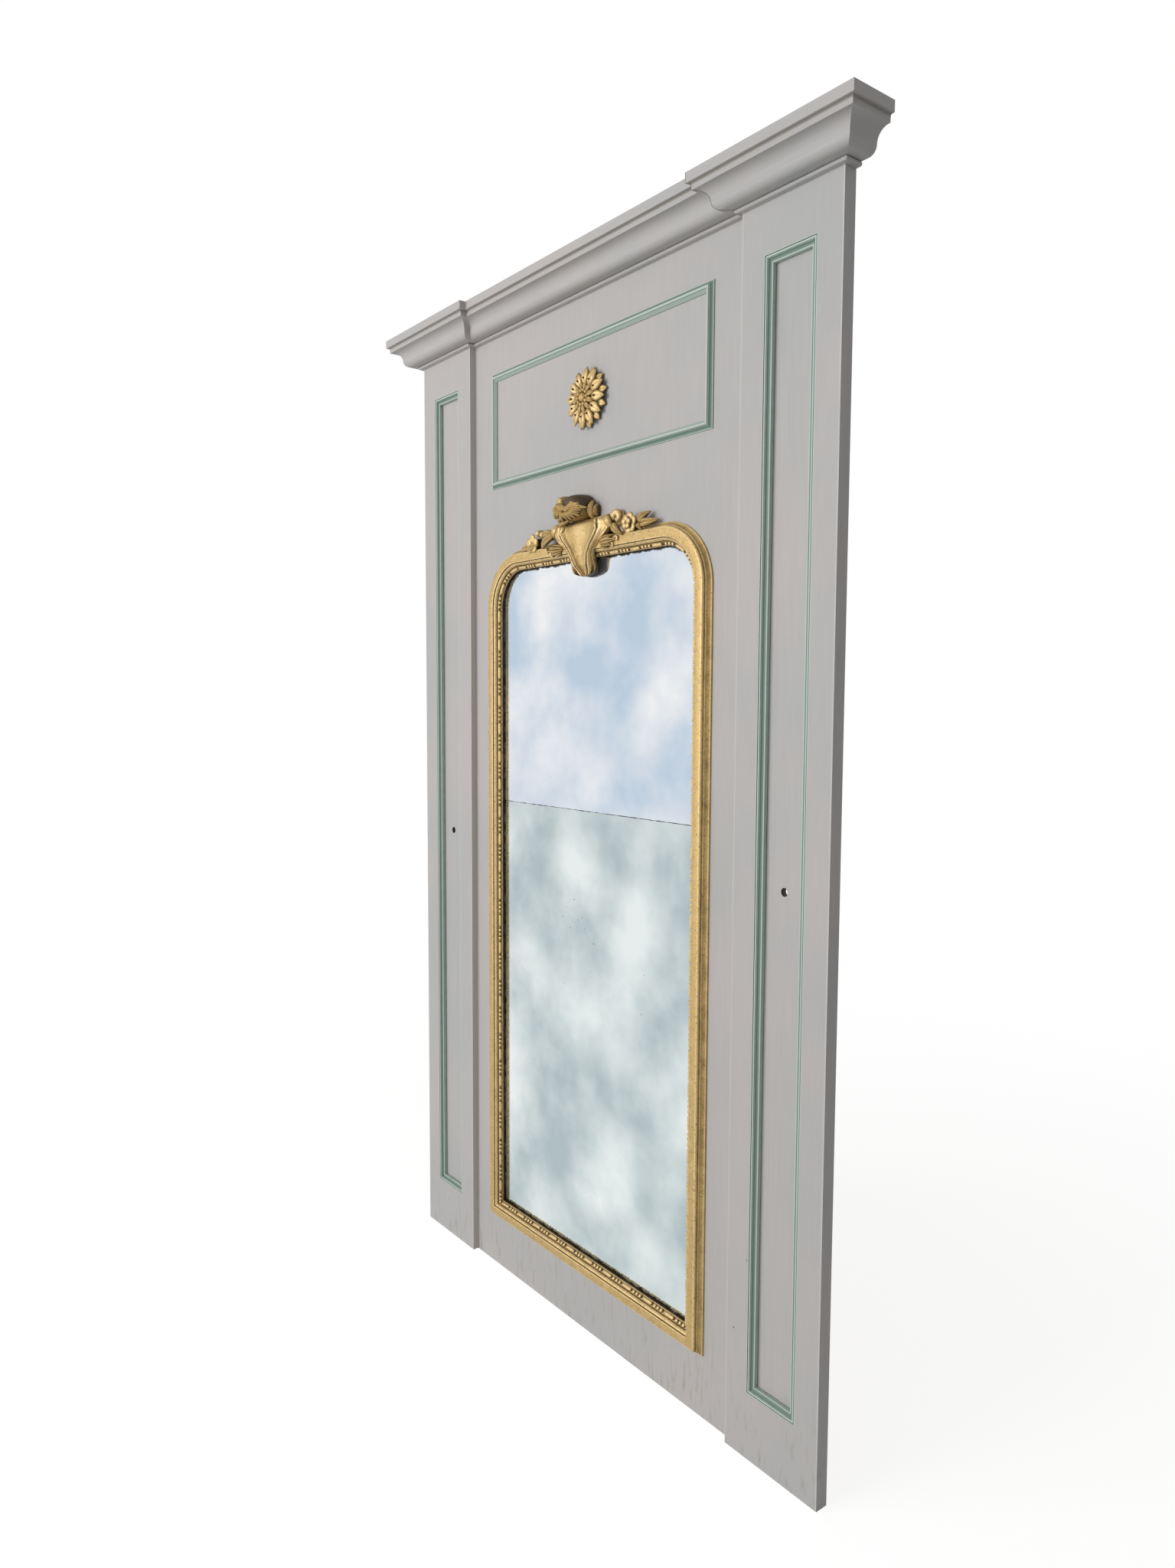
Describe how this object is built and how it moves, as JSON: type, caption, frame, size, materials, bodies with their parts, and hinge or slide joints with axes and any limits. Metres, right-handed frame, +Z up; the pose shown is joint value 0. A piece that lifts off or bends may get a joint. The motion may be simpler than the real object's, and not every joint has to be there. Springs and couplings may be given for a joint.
{
  "type": "trumeau mirror",
  "caption": "Tall painted overmantel panel with pilasters and crown cornice, holding a gilt-framed mirror with a carved crest, a gilt rosette and green mouldings; hangs on a wall.",
  "frame": {"origin": "middle of the hanging line, on the wall plane, between the two keyhole entries", "axes": "+Z up, +Y into the wall, front faces -Y, +X to the viewer's right"},
  "size_m": [1.216, 0.098, 1.895],
  "materials": {
    "grey_paint": "matt warm grey paint on pine",
    "green_paint": "worn sage green paint on pine",
    "gilding": "gold leaf on carved and moulded wood",
    "silvered_glass": "old silvered plate glass",
    "raw_pine": "bare pine",
    "steel": "plain steel"
  },
  "bodies": {
    "root": {"back_board_centre": "grey_paint", "back_board_left": "grey_paint", "back_board_right": "grey_paint", "batten_screws": "steel", "cornice_centre": "grey_paint", "cornice_dust_board": "raw_pine", "cornice_glue_blocks": "raw_pine", "cornice_left_end_return": "grey_paint", "cornice_left_front": "grey_paint", "cornice_left_inner_return": "grey_paint", "cornice_right_end_return": "grey_paint", "cornice_right_front": "grey_paint", "cornice_right_inner_return": "grey_paint", "crest_blossom": "gilding", "crest_cartouche": "gilding", "crest_left_spray": "gilding", "crest_right_spray": "gilding", "frame_screws": "steel", "hanging_plate_screws": "steel", "left_field_moulding_bottom": "green_paint", "left_field_moulding_inner": "green_paint", "left_field_moulding_outer": "green_paint", "left_field_moulding_top": "green_paint", "left_hanging_plate": "steel", "left_pilaster_foot_rail": "grey_paint", "left_pilaster_head_rail": "grey_paint", "left_pilaster_inner_stile": "grey_paint", "left_pilaster_outer_stile": "grey_paint", "lower_batten": "raw_pine", "middle_batten": "raw_pine", "mirror_foot_rail": "gilding", "mirror_head_rail": "gilding", "mirror_left_corner": "gilding", "mirror_left_stile": "gilding", "mirror_plate_lower": "silvered_glass", "mirror_plate_upper": "silvered_glass", "mirror_right_corner": "gilding", "mirror_right_stile": "gilding", "pearl_strip_bottom": "gilding", "pearl_strip_left": "gilding", "pearl_strip_right": "gilding", "pearl_strip_top": "gilding", "right_field_moulding_bottom": "green_paint", "right_field_moulding_inner": "green_paint", "right_field_moulding_outer": "green_paint", "right_field_moulding_top": "green_paint", "right_hanging_plate": "steel", "right_pilaster_foot_rail": "grey_paint", "right_pilaster_head_rail": "grey_paint", "right_pilaster_inner_stile": "grey_paint", "right_pilaster_outer_stile": "grey_paint", "rosette": "gilding", "rosette_button": "gilding", "upper_batten": "raw_pine", "upper_moulding_bottom": "green_paint", "upper_moulding_left": "green_paint", "upper_moulding_right": "green_paint", "upper_moulding_top": "green_paint"}
  },
  "joints": []
}
